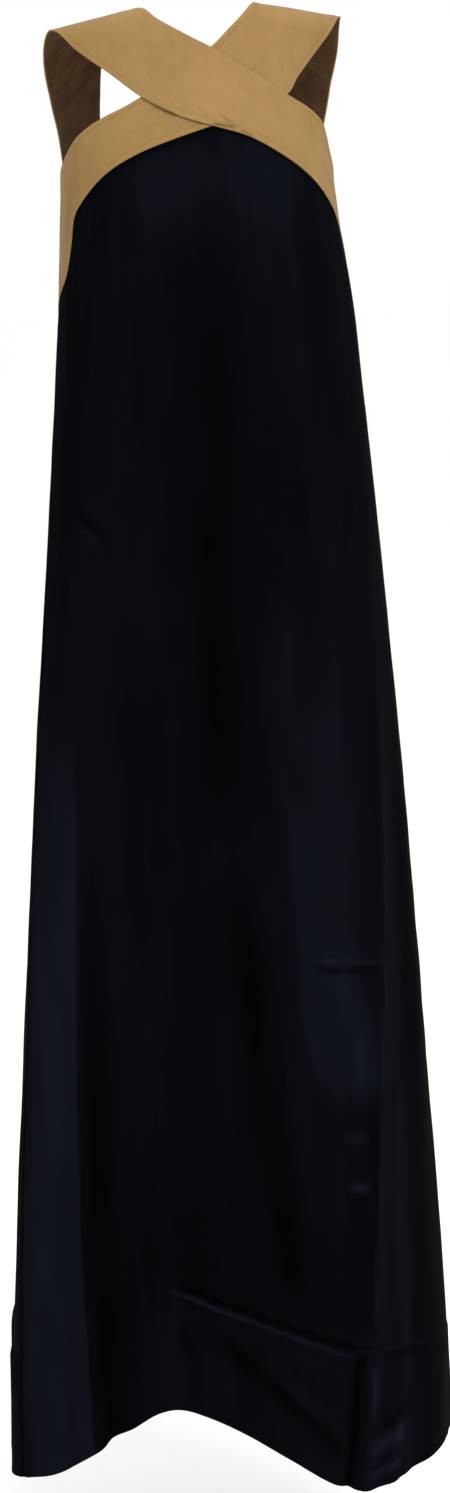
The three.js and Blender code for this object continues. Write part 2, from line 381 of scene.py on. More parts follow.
def fade(share, start, end):
    """1 along a path, easing to 0 over the given shares of its two ends."""
    head = ease(share / start) if start else 1
    tail = ease((1 - share) / end) if end else 1
    return head * tail


def crease(turn, drop, path, width, height, start, end):
    """A soft ridge (height above 0) or trough (below 0) along a path."""
    distance, share = near_path(turn, drop, path)
    return height * bell(distance, width) * fade(share, start, end)


def ledge(turn, drop, path, width, height, spread, start, end):
    """A small step along a path: the cloth below it is proud, and eases back over spread."""
    distance, share = near_path(turn, drop, path)
    rise = 0.5 * (1 + np.tanh(distance / width))
    back = np.exp(-np.maximum(distance, 0) / spread)
    groove = -0.45 * bell(distance + width, 1.5 * width)
    return height * (rise * back + groove) * fade(share, start, end)


# Main creases of the front panel: path as (turn, drop), width and height in millimetres, and the
# shares of the path over which it starts and ends.
FRONT_CREASES = [
    # the soft hollow down the middle
    ([(-4, 200), (-7, 388), (-9, 585), (-11, 791), (-14, 1008), (-20, 1239), (-28, 1491)],
     48, -6.0, 0.25, 0),
    # the left fold: its crest and the hollow behind it
    ([(-79, 560), (-76, 954), (-74, 1205), (-77, 1491)], 26, 7.0, 0.6, 0),
    ([(-64, 560), (-57, 800), (-54.5, 955), (-54.5, 1215), (-53.5, 1491)], 14, -8.0, 0.5, 0),
    ([(-50, 700), (-49, 1000), (-47, 1300), (-47, 1491)], 30, 4.0, 0.5, 0),
    # the right fold: a firm edge, with a flat side face beyond it
    ([(58, 560), (54.5, 760), (49.2, 953), (44.3, 1141), (40.3, 1345), (37.5, 1491)],
     12, 8.0, 0.45, 0),
    ([(66, 600), (64, 900), (62, 1200), (60, 1491)], 24, -6.0, 0.45, 0),
    ([(30, 500), (31, 700), (32, 900), (33, 1150), (32, 1330)], 26, -4.5, 0.35, 0.2),
    ([(16, 420), (20, 700), (22, 900), (22, 1100), (18, 1300)], 30, 3.5, 0.35, 0.3),
    # small cross creases
    ([(19, 956), (28, 958), (38, 960), (48, 963)], 6, -2.2, 0.3, 0.2),
    ([(20, 947), (33, 951), (48, 955)], 6, 1.6, 0.3, 0.2),
    ([(29, 1134), (35, 1129), (43, 1132)], 5, 2.4, 0.35, 0.35),
    ([(28, 1142), (35, 1138), (42, 1142)], 5, -1.8, 0.35, 0.35),
    ([(29, 1186), (35, 1181), (42, 1184)], 5, 2.6, 0.35, 0.35),
    ([(28, 1194), (35, 1190), (41, 1194)], 5, -1.8, 0.35, 0.35),
    ([(-69, 497), (-62, 504), (-55, 514), (-48, 530)], 6, -2.4, 0.3, 0.4),
    ([(-64, 488), (-56, 500), (-47, 524)], 8, 1.5, 0.4, 0.4),
    ([(-72, 640), (-62, 652), (-54, 656)], 7, -1.6, 0.4, 0.4),
    # drag lines from the bands' ends over the bust
    ([(-62, 232), (-54, 300), (-50, 380)], 12, 1.6, 0.3, 0.5),
    ([(54, 232), (50, 310), (48, 400)], 12, 1.8, 0.3, 0.5),
    ([(22, 190), (24, 280), (27, 380)], 16, -1.2, 0.4, 0.5),
    # below the turned hem, on the right: a slanting hollow, a sharp fold and two soft lights
    ([(-14, 1367), (-2, 1405), (11, 1426), (25, 1451), (31, 1468)], 11, -6.0, 0.35, 0.1),
    ([(6, 1396), (16, 1410), (28, 1428)], 12, 2.5, 0.3, 0.3),
    ([(36, 1351), (34.5, 1395), (34, 1432), (31.5, 1491)], 6, -6.0, 0.12, 0),
    ([(44, 1400), (48, 1440), (54, 1470)], 9, 3.5, 0.35, 0.3),
    ([(60, 1390), (57, 1430), (52, 1491)], 9, -2.6, 0.35, 0),
    ([(-85, 1385), (-80, 1430), (-72, 1480)], 12, -2.2, 0.35, 0.2),
]
# The upper edge of the deep turned hem, pressed through to the outside.
FRONT_HEM_LINE = [
    (-28, 1339), (-22, 1347), (-16, 1351), (-8, 1352.5), (1, 1352.5), (9, 1351), (17, 1348.5),
    (25, 1346.5), (33, 1348), (38, 1350.5), (42, 1351), (52, 1357), (62, 1367), (72, 1378),
    (84, 1390), (92, 1396),
]
BACK_CREASES = [
    ([(118, 600), (121, 900), (123, 1200), (122, 1491)], 26, 6.5, 0.5, 0),
    ([(134, 600), (138, 900), (143, 1200), (146, 1491)], 20, -8.0, 0.5, 0),
    ([(160, 560), (162, 900), (163, 1200), (165, 1491)], 26, 6.0, 0.5, 0),
    ([(180, 420), (181, 800), (183, 1200), (184, 1491)], 32, -4.0, 0.4, 0),
    ([(203, 560), (200, 900), (198, 1200), (196, 1491)], 26, 5.0, 0.5, 0),
    ([(221, 640), (218, 900), (215, 1200), (213, 1491)], 18, -7.5, 0.5, 0),
    ([(240, 600), (240, 900), (238, 1200), (236, 1491)], 24, 6.0, 0.5, 0),
    ([(252, 700), (253, 1000), (253, 1250), (252, 1491)], 22, -4.5, 0.5, 0),
    # drag lines below the back band and small creases where the skirt was folded
    ([(150, 360), (152, 430), (156, 520)], 14, 2.0, 0.25, 0.5),
    ([(208, 360), (206, 430), (202, 520)], 14, 2.2, 0.25, 0.5),
    ([(122, 335), (128, 410), (132, 500)], 12, -1.6, 0.3, 0.5),
    ([(238, 335), (232, 410), (228, 500)], 12, -1.8, 0.3, 0.5),
    ([(150, 905), (163, 899), (176, 903)], 6, -2.2, 0.3, 0.3),
    ([(150, 914), (164, 908), (175, 912)], 7, 1.6, 0.3, 0.3),
    ([(186, 1105), (197, 1099), (207, 1103)], 5, 2.3, 0.35, 0.35),
    ([(228, 690), (236, 700), (246, 697)], 6, -2.2, 0.35, 0.35),
    ([(108, 1180), (115, 1175), (123, 1179)], 5, 2.0, 0.35, 0.35),
    ([(170, 1400), (180, 1425), (192, 1446), (205, 1462)], 12, -4.5, 0.3, 0.3),
    ([(243, 1395), (236, 1420), (228, 1450)], 11, -3.5, 0.3, 0.3),
]
BACK_HEM_LINE = [
    (92, 1393), (108, 1380), (122, 1362), (138, 1354), (155, 1351), (172, 1352), (190, 1350),
    (208, 1353), (225, 1351), (240, 1356), (255, 1362), (268, 1371),
]
HEM_LEDGE = {"width": 2.0, "height": 3.6, "spread": 70, "start": 0.12, "end": 0.05}

# Painted light (above 0) and painted shade (below 0) of the folds, in the same form as creases.
FRONT_PAINTED_SHADING = [
    # painted shade down the middle
    ([(-7, 200), (-8, 300), (-9, 436), (-8, 584), (-7, 686), (-6, 860)], 24, -1.7, 0.2, 0.2),
    ([(-4, 840), (1, 946), (6, 1051), (9, 1135), (13, 1229), (17, 1330)], 17, -1.7, 0.2, 0.1),
    ([(-14, 900), (-16, 1050), (-18, 1240), (-22, 1330)], 26, -0.35, 0.3, 0.3),
    # painted light on the left fold, painted shade in the deep hollow beside it and along the side
    ([(-79, 600), (-76, 780), (-75, 955), (-76, 1215), (-77, 1491)], 30, 0.45, 0.5, 0),
    ([(-57, 820), (-56, 1000), (-55, 1200), (-53, 1491)], 13, -1.3, 0.4, 0),
    ([(-90, 520), (-90, 800), (-89.5, 1150)], 6, -1.6, 0.1, 0.3),
    ([(-72, 250), (-70, 400), (-69, 560)], 18, -0.5, 0.3, 0.3),
    # painted light and shade of the right fold: its firm edge and the face beyond it
    ([(56, 700), (49.2, 953), (44.3, 1141), (40.7, 1335)], 2.4, 0.8, 0.2, 0.05),
    ([(66, 300), (64, 500), (60, 760), (57, 1100), (55, 1491)], 26, 0.2, 0.35, 0),
    ([(84, 400), (80, 800), (77, 1200), (74, 1491)], 34, -0.8, 0.3, 0),
    ([(30, 900), (34, 980), (38, 1050), (41, 1110)], 24, 0.75, 0.4, 0.2),
    ([(36, 1180), (36, 1260), (34, 1335)], 22, -0.35, 0.3, 0.1),
    ([(14, 560), (17, 640), (19, 720), (23, 800)], 26, 0.5, 0.35, 0.35),
    # painted light and shade of the small cross creases
    ([(30, 1128), (41, 1136)], 6, 1.0, 0.4, 0.3),
    ([(33, 1181), (41, 1185)], 4.5, 1.8, 0.3, 0.3),
    ([(19, 948), (33, 951), (48, 956)], 2.6, 1.1, 0.4, 0.1),
    ([(20, 957), (34, 960), (48, 964)], 4, -0.8, 0.3, 0.1),
    ([(-69, 497), (-62, 504), (-55, 514), (-48, 530)], 5, -0.8, 0.3, 0.4),
    ([(-66, 507), (-59, 517), (-51, 534)], 4, 0.5, 0.3, 0.3),
    # painted light over the chest
    ([(-44, 222), (-22, 182), (0, 166), (22, 182), (44, 214)], 38, 0.3, 0.2, 0.2),
    # painted light and shade round the turned hem
    ([(-27, 1335), (-22, 1343), (-8, 1348), (9, 1346), (25, 1342), (36, 1345)],
     3.4, -1.7, 0.06, 0.05),
    ([(-31, 1342), (-22, 1351), (-8, 1356), (9, 1354), (25, 1350.5), (35, 1354)],
     2.3, 1.6, 0.1, 0.15),
    ([(-34, 1366), (-22, 1371), (-8, 1374), (9, 1372), (25, 1368), (34, 1370)], 13, 0.35, 0.2, 0.2),
    ([(-34, 1350), (-31, 1400), (-28, 1491)], 34, 0.4, 0.3, 0),
    ([(-22, 1400), (-12, 1430), (2, 1462)], 22, 0.4, 0.3, 0.3),
    ([(43, 1350), (52, 1354), (62, 1363), (75, 1377), (88, 1390)], 2.4, 0.7, 0.1, 0.3),
    ([(43, 1356), (52, 1361), (62, 1371), (72, 1382)], 4, -0.8, 0.05, 0.4),
    ([(-14, 1367), (-2, 1405), (4, 1416), (11, 1425), (19, 1440), (25, 1450), (31, 1466)],
     8, -1.3, 0.4, 0.1),
    ([(12, 1404), (20, 1414), (28, 1428)], 9, 0.6, 0.4, 0.4),
    ([(36, 1351), (34.5, 1395), (34, 1432), (31.5, 1491)], 3.4, -2.6, 0.05, 0),
    ([(39.5, 1360), (40, 1391), (39.5, 1425)], 3.2, 1.2, 0.2, 0.3),
    ([(37, 1458), (46, 1444), (58, 1442)], 8, 1.7, 0.2, 0.35),
    ([(36, 1480), (46, 1474), (56, 1470)], 4.5, 1.4, 0.2, 0.4),
    ([(41, 1428), (50, 1422), (62, 1420)], 5, -0.7, 0.3, 0.4),
    ([(-28, 1392), (-22, 1408), (-14, 1428)], 8, -0.5, 0.3, 0.3),
]
# Sharp-sided changes of painted light and shade, in the same form as ledges: path, width, height,
# spread and ends.
FRONT_PAINTED_EDGES = [
    ([(-66, 620), (-65, 690), (-63.5, 790), (-63.5, 955), (-64, 1265), (-61.5, 1491)],
     1.6, 1.0, 60, 0.4, 0),
    ([(37, 1491), (40.3, 1345), (44.3, 1141), (49.2, 953), (56, 700), (58, 620)],
     1.5, 0.3, 30, 0, 0.35),
    ([(33, 1135), (24, 1073), (19, 1002), (18, 919), (15, 838), (11, 746), (8, 640)],
     5, 0.75, 60, 0.2, 0.45),
    ([(-45, 1491), (-44, 1405), (-43, 1359), (-38, 1295)], 4, 0.4, 40, 0, 0.6),
]
BACK_PAINTED_EDGES = [
    ([(126, 700), (131, 1000), (134, 1491)], 1.6, 0.7, 60, 0.4, 0),
    ([(205, 1491), (208, 1150), (213, 760)], 1.6, 0.7, 60, 0, 0.4),
]
# Painted light and shade of the back's folds, its side and its turned hem, in the same form as
# creases.
BACK_PAINTED_SHADING = [
    ([(268, 540), (267, 900), (266, 1220)], 13, -1.8, 0.12, 0.35),
    ([(262, 500), (262, 900), (262, 1491)], 26, -1.2, 0.3, 0),
    ([(134, 700), (140, 1000), (146, 1491)], 18, -0.9, 0.4, 0),
    ([(122, 600), (125, 900), (125, 1491)], 24, 1.0, 0.4, 0),
    ([(162, 600), (163, 900), (165, 1491)], 26, 0.8, 0.4, 0),
    ([(180, 450), (182, 900), (184, 1491)], 28, -0.7, 0.4, 0),
    ([(200, 600), (198, 1000), (196, 1491)], 24, 0.8, 0.4, 0),
    ([(221, 700), (217, 1000), (213, 1491)], 18, -0.9, 0.4, 0),
    ([(240, 600), (239, 1000), (236, 1491)], 22, 0.9, 0.4, 0),
    ([(96, 1388), (138, 1349), (180, 1346), (225, 1346), (266, 1366)], 4, -1.2, 0.1, 0.1),
    ([(96, 1396), (138, 1358), (180, 1355), (225, 1355), (266, 1374)], 3.2, 1.8, 0.1, 0.1),
]


TONE_NOISE = ((0.20, 52, 260), (0.14, 17, 120), (0.10, 7, 45))
STROKE_STRENGTH_NOISE = (0.3, 13, 75)
PLAIN_TONE = 0.15
TOP_SHADE, TOP_SHADE_WIDTH = 1.5, 4  # under the bands


def panel_tone_and_painted_shading(turn, drop, strokes, edges, seed):
    """The tone of a panel's cloth: random tone, painted light and shade of its folds, and painted
    shade under the bands; 0 is plain, about -2 deepest and about 3 lightest.
    """
    girth = turn * girth_scale(drop)
    tone_and_painted_shading = panel_noise(girth, drop, TONE_NOISE, seed)
    stroke_strength = 0.8 + panel_noise(girth, drop, [STROKE_STRENGTH_NOISE], seed + len(TONE_NOISE))
    # painted light and shade along the folds, of uneven strength
    for path, width, height, start, end in strokes:
        tone_and_painted_shading += crease(turn, drop, path, width, height, start, end) * stroke_strength
    for path, width, height, spread, start, end in edges:
        distance, share = near_path(turn, drop, path)
        side = 0.5 * (1 + np.tanh(distance / width)) * np.exp(-np.maximum(distance, 0) / spread)
        tone_and_painted_shading += height * side * fade(share, start, end)
    return tone_and_painted_shading + PLAIN_TONE - TOP_SHADE * bell(drop - drop[:, :1], TOP_SHADE_WIDTH)


def panel_relief(turn, drop, creases, hem_line, seams, seed):
    """How far a panel's cloth stands off the form, in millimetres."""
    girth = turn * girth_scale(drop)
    share = skirt_share(depth_of(drop))
    layers = ((2.4 * share, 120, 420), (0.5 + 0.5 * share, 46, 150), (0.28, 19, 38))
    relief = panel_noise(girth, drop, layers, seed)
    for path, width, height, start, end in creases:
        relief += crease(turn, drop, path, width, height, start, end)
    relief += ledge(turn, drop, hem_line, **HEM_LEDGE)
    for seam in seams:
        # a groove on the seam, a soft welt beside it, and puckers along it
        distance = np.abs(turn - seam) * girth_scale(drop)
        relief += 0.7 * bell(distance - 7, 5) - 0.9 * bell(distance, 3)
        pucker = np.sin(drop / 11.0 + 2.0 * soft_noise(drop / 60, seam + 0 * drop, seed + 3))
        relief += 0.22 * pucker * bell(distance, 9)
    # the hem's edge is a little full, and the top lies flat under the bands
    relief += 0.5 * bell(HEM_DROP - drop, 5)
    return relief * (0.1 + 0.9 * ease((drop - drop[:, :1]) / 26))


def edge_relief(distance, shown):
    """The turned edges of a band: a slightly proud rim and the dent of its stitch line."""
    proud = 0.25 * bell(distance - 1.5, 2.2)
    dent = -0.35 * bell(distance - STITCH_INSET, 1.1)
    return (proud + dent) * shown


# ======================================================================== meshes
def drawn_in(points):
    """Moves the four edges of a grid inwards by half a seam gap."""
    points = points.copy()

    def move(edge, inner):
        tangent = unit(np.gradient(edge, axis=0))
        inward = inner - edge
        inward -= (inward * tangent).sum(-1, keepdims=True) * tangent
        return edge + unit(inward) * SEAM_GAP / 2

    first, last = move(points[0], points[1]), move(points[-1], points[-2])
    points[0], points[-1] = first, last
    low, high = move(points[:, 0], points[:, 1]), move(points[:, -1], points[:, -2])
    points[:, 0], points[:, -1] = low, high
    return points


def lengths_along(points, axis):
    """The length of cloth from the grid's first row or column to each point."""
    step = np.linalg.norm(np.diff(points, axis=axis), axis=-1)
    pad = [(0, 0), (0, 0)]
    pad[axis] = (1, 0)
    return np.pad(np.cumsum(step, axis=axis), pad)


RIM_ANGLES = [math.pi * k / 4 for k in (1, 2, 3)]  # the rim is half a round


def point_attribute(mesh, name, kind, field, grid_values, ring):
    """Gives the outer side, the inner side and the rims of a shell the values of their grid."""
    on_rims = [grid_values[ring]] * len(RIM_ANGLES)
    values = np.concatenate([grid_values, grid_values, *on_rims])
    mesh.attributes.new(name, kind, "POINT").data.foreach_set(field, values.ravel())


def shell(name, turn, drop, relief, cloth, materials, tint):
    """A closed thin shell over a grid of turns and drops, with rounded edges.

    materials are those of the outer side, with the rims, and of the inner side.
    """
    m, n = turn.shape
    base = drawn_in(cloth_point(turn, drop))
    normal = cloth_normal(turn, drop)
    half = cloth["thick"] / 2
    middle = base + normal * (cloth["inside"] + half + relief)[..., None]
    outer, inner = middle + normal * half, middle - normal * half

    i, j = np.arange(m), np.arange(n)
    loop = np.concatenate([
        np.stack([i[:-1], 0 * i[:-1]], 1),
        np.stack([0 * j[:-1] + m - 1, j[:-1]], 1),
        np.stack([i[:0:-1], 0 * i[:0:-1] + n - 1], 1),
        np.stack([0 * j[:0:-1], j[:0:-1]], 1),
    ])
    rim_middle, rim_normal = middle[loop[:, 0], loop[:, 1]], normal[loop[:, 0], loop[:, 1]]
    tangent = unit(np.roll(rim_middle, -1, 0) - np.roll(rim_middle, 1, 0))
    outwards = unit(np.cross(tangent, rim_normal))
    inside = (np.clip(loop[:, 0], 1, m - 2), np.clip(loop[:, 1], 1, n - 2))
    if ((rim_middle - middle[inside]) * outwards).sum() < 0:
        outwards = -outwards
    rims = [
        rim_middle + half * (math.cos(a) * rim_normal + math.sin(a) * outwards) for a in RIM_ANGLES
    ]

    vertices = np.concatenate([outer.reshape(-1, 3), inner.reshape(-1, 3), *rims]) * MM
    grid = np.arange(m * n).reshape(m, n)
    quads = np.stack([grid[:-1, :-1], grid[1:, :-1], grid[1:, 1:], grid[:-1, 1:]], -1)
    quads = quads.reshape(-1, 4)
    ring = loop[:, 0] * n + loop[:, 1]
    count, around = m * n, len(ring)
    levels = [ring] + [2 * count + k * around + np.arange(around) for k in range(len(rims))]
    levels.append(ring + count)
    rim_quads = [
        np.stack([a, b, np.roll(b, -1), np.roll(a, -1)], -1) for a, b in zip(levels, levels[1:])
    ]
    faces = np.concatenate([quads, quads[:, ::-1] + count, *rim_quads])

    # turned so that the faces of the outer side look out
    a, b, c = (vertices[quads[0, k]] for k in range(3))
    if np.dot(np.cross(b - a, c - a), normal[0, 0]) < 0:
        faces = faces[:, ::-1]

    mesh = bpy.data.meshes.new(name)
    mesh.from_pydata(vertices.tolist(), [], faces.tolist())
    mesh.shade_smooth()
    on_cloth = np.stack([lengths_along(base, 0), lengths_along(base, 1), 0 * turn], -1) * MM
    point_attribute(mesh, "cloth", "FLOAT_VECTOR", "vector", on_cloth.reshape(-1, 3), ring)
    point_attribute(mesh, "tint", "FLOAT", "value", tint.ravel(), ring)
    for material in materials:
        mesh.materials.append(material)
    side = np.zeros(len(faces), int)
    side[len(quads) : 2 * len(quads)] = 1
    mesh.polygons.foreach_set("material_index", side)
    mesh.validate()
    piece = bpy.data.objects.new(name, mesh)
    bpy.context.scene.collection.objects.link(piece)
    return piece


# ======================================================================== materials
def new_material(name):
    material = bpy.data.materials.new(name)
    material.use_nodes = True
    nodes, links = material.node_tree.nodes, material.node_tree.links
    return material, nodes, links, nodes["Principled BSDF"]


def add(nodes, kind, **values):
    node = nodes.new(kind)
    for key, value in values.items():
        setattr(node, key, value)
    return node


def maths(nodes, links, operation, a, b=None, clamp=False):
    node = add(nodes, "ShaderNodeMath", operation=operation, use_clamp=clamp)
    for socket, value in zip(node.inputs, (a, b)):
        if value is None:
            continue
        if isinstance(value, (int, float)):
            socket.default_value = value
        else:
            links.new(value, socket)
    return node.outputs[0]


def noise(nodes, links, vector, scale, detail, roughness):
    node = add(nodes, "ShaderNodeTexNoise")
    node.inputs["Scale"].default_value = scale
    node.inputs["Detail"].default_value = detail
    node.inputs["Roughness"].default_value = roughness
    links.new(vector, node.inputs["Vector"])
    return node.outputs["Fac"]


def mixed(nodes, links, factor, a, b):
    node = add(nodes, "ShaderNodeMix", data_type="RGBA")
    for socket, value in ((node.inputs[0], factor), (node.inputs[6], a), (node.inputs[7], b)):
        if isinstance(value, (int, float)):
            socket.default_value = value
        elif isinstance(value, tuple):
            socket.default_value = (*value, 1)
        else:
            links.new(value, socket)
    return node.outputs[2]


TINT_STEP = 0.4  # how far the mesh's tint moves the colour, for each unit
WARP_SHARE = 0.62  # the spacing of single threads, as a share of the twill's ribs
THREAD_STRETCH = (1, 0.12, 1)
THREAD_SCALE, SLUB_SCALE = 1400, 260
SLUB_SHADE = 0.35
ROUGHNESS_SPREAD = 0.16
SHEEN_ROUGHNESS = 0.45
BUMP_STRENGTH, BUMP_DISTANCE = 0.5, 0.00012


def cloth_material(name, tones, twill, mottling, roughness, specular, tint_tones, sheen=None):
    """Twill cloth. tones are the dark, middle and light colours of its threads.

    twill is the spacing of its ribs in metres, mottling the scale and strength of its broad
    patches, sheen a weight and a colour. tint_tones are the colours that the mesh's tint goes
    to, below and above 0: the tint carries random tone and painted light and shade.
    """
    material, nodes, links, shader = new_material(name)
    place = add(nodes, "ShaderNodeAttribute", attribute_name="cloth").outputs["Vector"]
    parts = add(nodes, "ShaderNodeSeparateXYZ")
    links.new(place, parts.inputs[0])
    u, v = parts.outputs[0], parts.outputs[1]

    # the weave: slanting ribs of the twill, broken by single threads
    def wave(across, spacing):
        turns = maths(nodes, links, "MULTIPLY", across, 2 * math.pi / spacing)
        return maths(nodes, links, "SINE", turns)

    ribs = wave(maths(nodes, links, "ADD", u, v), twill)
    warp = wave(u, WARP_SHARE * twill)
    weave = maths(nodes, links, "ADD", ribs, maths(nodes, links, "MULTIPLY", warp, 0.5))
    stretched = add(nodes, "ShaderNodeVectorMath", operation="MULTIPLY")
    links.new(place, stretched.inputs[0])
    stretched.inputs[1].default_value = THREAD_STRETCH
    threads = noise(nodes, links, stretched.outputs[0], THREAD_SCALE, 2, 0.6)
    slubs = noise(nodes, links, stretched.outputs[0], SLUB_SCALE, 3, 0.55)

    # colour: thread by thread, then broad soft mottling
    tone = mixed(nodes, links, threads, tones[0], tones[2])
    tone = mixed(nodes, links, 0.5, tone, tones[1])
    broad = noise(nodes, links, place, mottling[0], 4, 0.55)
    broad = maths(nodes, links, "MULTIPLY", maths(nodes, links, "SUBTRACT", broad, 0.35), 2.4, True)
    tone = mixed(nodes, links, maths(nodes, links, "MULTIPLY", broad, mottling[1]), tone, tones[2])
    shade = maths(nodes, links, "MULTIPLY", slubs, SLUB_SHADE)
    tone = mixed(nodes, links, shade, tone, tones[0])
    # the mesh's tint: random tone with painted light and shade, deeper below 0 and lighter above
    tint = add(nodes, "ShaderNodeAttribute", attribute_name="tint").outputs["Fac"]
    deeper = maths(nodes, links, "MULTIPLY", tint, -TINT_STEP, True)
    lighter = maths(nodes, links, "MULTIPLY", tint, TINT_STEP, True)
    tone = mixed(nodes, links, deeper, tone, tint_tones[0])
    tone = mixed(nodes, links, lighter, tone, tint_tones[1])
    links.new(tone, shader.inputs["Base Color"])

    rough = maths(nodes, links, "MULTIPLY", slubs, ROUGHNESS_SPREAD)
    rough = maths(nodes, links, "ADD", rough, roughness - ROUGHNESS_SPREAD / 2)
    links.new(rough, shader.inputs["Roughness"])
    shader.inputs["Specular IOR Level"].default_value = specular
    if sheen:
        shader.inputs["Sheen Weight"].default_value = sheen[0]
        shader.inputs["Sheen Roughness"].default_value = SHEEN_ROUGHNESS
        shader.inputs["Sheen Tint"].default_value = (*sheen[1], 1)

    height = maths(nodes, links, "ADD", weave, maths(nodes, links, "MULTIPLY", threads, 1.4))
    height = maths(nodes, links, "ADD", height, maths(nodes, links, "MULTIPLY", slubs, 1.8))
    bump = add(nodes, "ShaderNodeBump")
    bump.inputs["Strength"].default_value = BUMP_STRENGTH
    bump.inputs["Distance"].default_value = BUMP_DISTANCE
    links.new(height, bump.inputs["Height"])
    links.new(bump.outputs[0], shader.inputs["Normal"])
    return material


NAVY = cloth_material(
    "navy_twill",
    tones=((0.0010, 0.0013, 0.0018), (0.0016, 0.0020, 0.0028), (0.0024, 0.0030, 0.0042)),
    twill=0.0011,
    mottling=(14, 0.55),
    roughness=0.62,
    specular=0.0015,
    tint_tones=((0.0002, 0.0003, 0.0005), (0.0086, 0.0106, 0.0168)),
)
NAVY_INSIDE = cloth_material(
    "navy_twill_wrong_side",
    tones=((0.0008, 0.0010, 0.0015), (0.0014, 0.0017, 0.0025), (0.0024, 0.0029, 0.0042)),
    twill=0.0011,
    mottling=(11, 0.55),
    roughness=0.85,
    specular=0.006,
    tint_tones=((0.0006, 0.0007, 0.0010), (0.0040, 0.0048, 0.0068)),
)
TAN = cloth_material(
    "tan_twill",
    tones=((0.190, 0.104, 0.024), (0.256, 0.149, 0.043), (0.306, 0.189, 0.068)),
    twill=0.0009,
    mottling=(26, 0.5),
    sheen=(0.04, (1.0, 0.86, 0.62)),
    roughness=0.62,
    specular=0.2,
    tint_tones=((0.09, 0.045, 0.012), (0.36, 0.225, 0.095)),
)
# The bands' inner side: the tan cloth darkened to deep brown, painted shade of the dress's inside.
TAN_INSIDE_PAINTED_SHADE = cloth_material(
    "tan_twill_inside_painted_shade",
    tones=((0.024, 0.010, 0.004), (0.078, 0.038, 0.016), (0.180, 0.097, 0.042)),
    twill=0.0009,
    mottling=(48, 0.95),
    sheen=(0.02, (1.0, 0.8, 0.6)),
    roughness=0.8,
    specular=0.12,
    tint_tones=((0.02, 0.01, 0.005), (0.12, 0.065, 0.03)),
)


# ======================================================================== pieces
def band_grid(edges, side):
    """Turns, drops, places counted in the edges' points, and shares across, for a band."""
    k = np.linspace(0, 1, BAND_STEPS + 1)[:, None]
    across = np.linspace(0, 1, BAND_ROWS + 1)[None, :]
    low, high = spline(edges["low"], k[:, 0]), spline(edges["high"], k[:, 0])
    grid = low[:, None, :] * (1 - across[..., None]) + high[:, None, :] * across[..., None]
    place = k * (len(edges["low"]) - 1) + 0 * across
    return side * grid[..., 0], grid[..., 1], place, across + 0 * k


# Noise over a band: strength, length of its patches in millimetres and their count across.
BAND_NOISE = ((0.55, 70, 1.6), (0.30, 24, 3.2), (0.12, 9, 7))
BAND_TINT_NOISE = ((0.22, 46, 2), (0.14, 11, 6))
# Nominal millimetres between two points along a band, and across it, for creases and for marks.
CREASE_SCALE = (40, 80)
MARK_SCALE = (32, 85)


def near_line(place, across, line, scale):
    """Distance to a straight line on a band, and the share of the line's length there."""
    (k0, a0, k1, a1), (long, wide) = line, scale
    x, y = (place - k0) * long, (across - a0) * wide
    dx, dy = (k1 - k0) * long, (a1 - a0) * wide
    u = np.clip((x * dx + y * dy) / (dx * dx + dy * dy), 0, 1)
    return np.hypot(x - u * dx, y - u * dy), u


def band_relief(turn, drop, place, across, seed, creases, marks=(), pressed=0):
    """The relief and tint of a band. Where pressed is 1, its higher edge lies flat on the cloth."""
    one_edge = cloth_point(turn[:, 0], drop[:, 0])
    other_edge = cloth_point(turn[:, -1], drop[:, -1])
    width = np.linalg.norm(other_edge - one_edge, axis=-1)
    along = place * CREASE_SCALE[0]
    edge = np.minimum(across, 1 - across) * width[:, None]
    shown = np.where(across > 0.5, 1 - pressed, 1) + 0 * across
    relief = band_noise(along, across, BAND_NOISE, seed)
    relief = relief * (0.4 + 0.6 * ease(edge / 14)) + edge_relief(edge, shown)
    for *line, size, height in creases:
        distance, u = near_line(place, across, line, CREASE_SCALE)
        relief += height * bell(distance, size) * fade(u, 0.2, 0.4)
    # a lighter edge, a painted highlight along the rolled rim, and the painted shade of the stitch
    # line
    tint = (0.12 * np.clip(1 - edge / 3, 0, 1) - 0.28 * bell(edge - STITCH_INSET, 1.3)) * shown
    tint += band_noise(along, across, BAND_TINT_NOISE, seed + len(BAND_NOISE))
    for *line, size, height in marks:
        distance, _ = near_line(place, across, line, MARK_SCALE)
        tint += height * bell(distance, size)
    return relief, tint


def crossing_lift(place):
    """How far the upper front band stands off at a place counted in its points."""
    risen = ease((place - RISE_START) / RISE_LENGTH)
    return CROSSING_LIFT * risen * (1 - ease((place - FALL_START) / FALL_LENGTH))


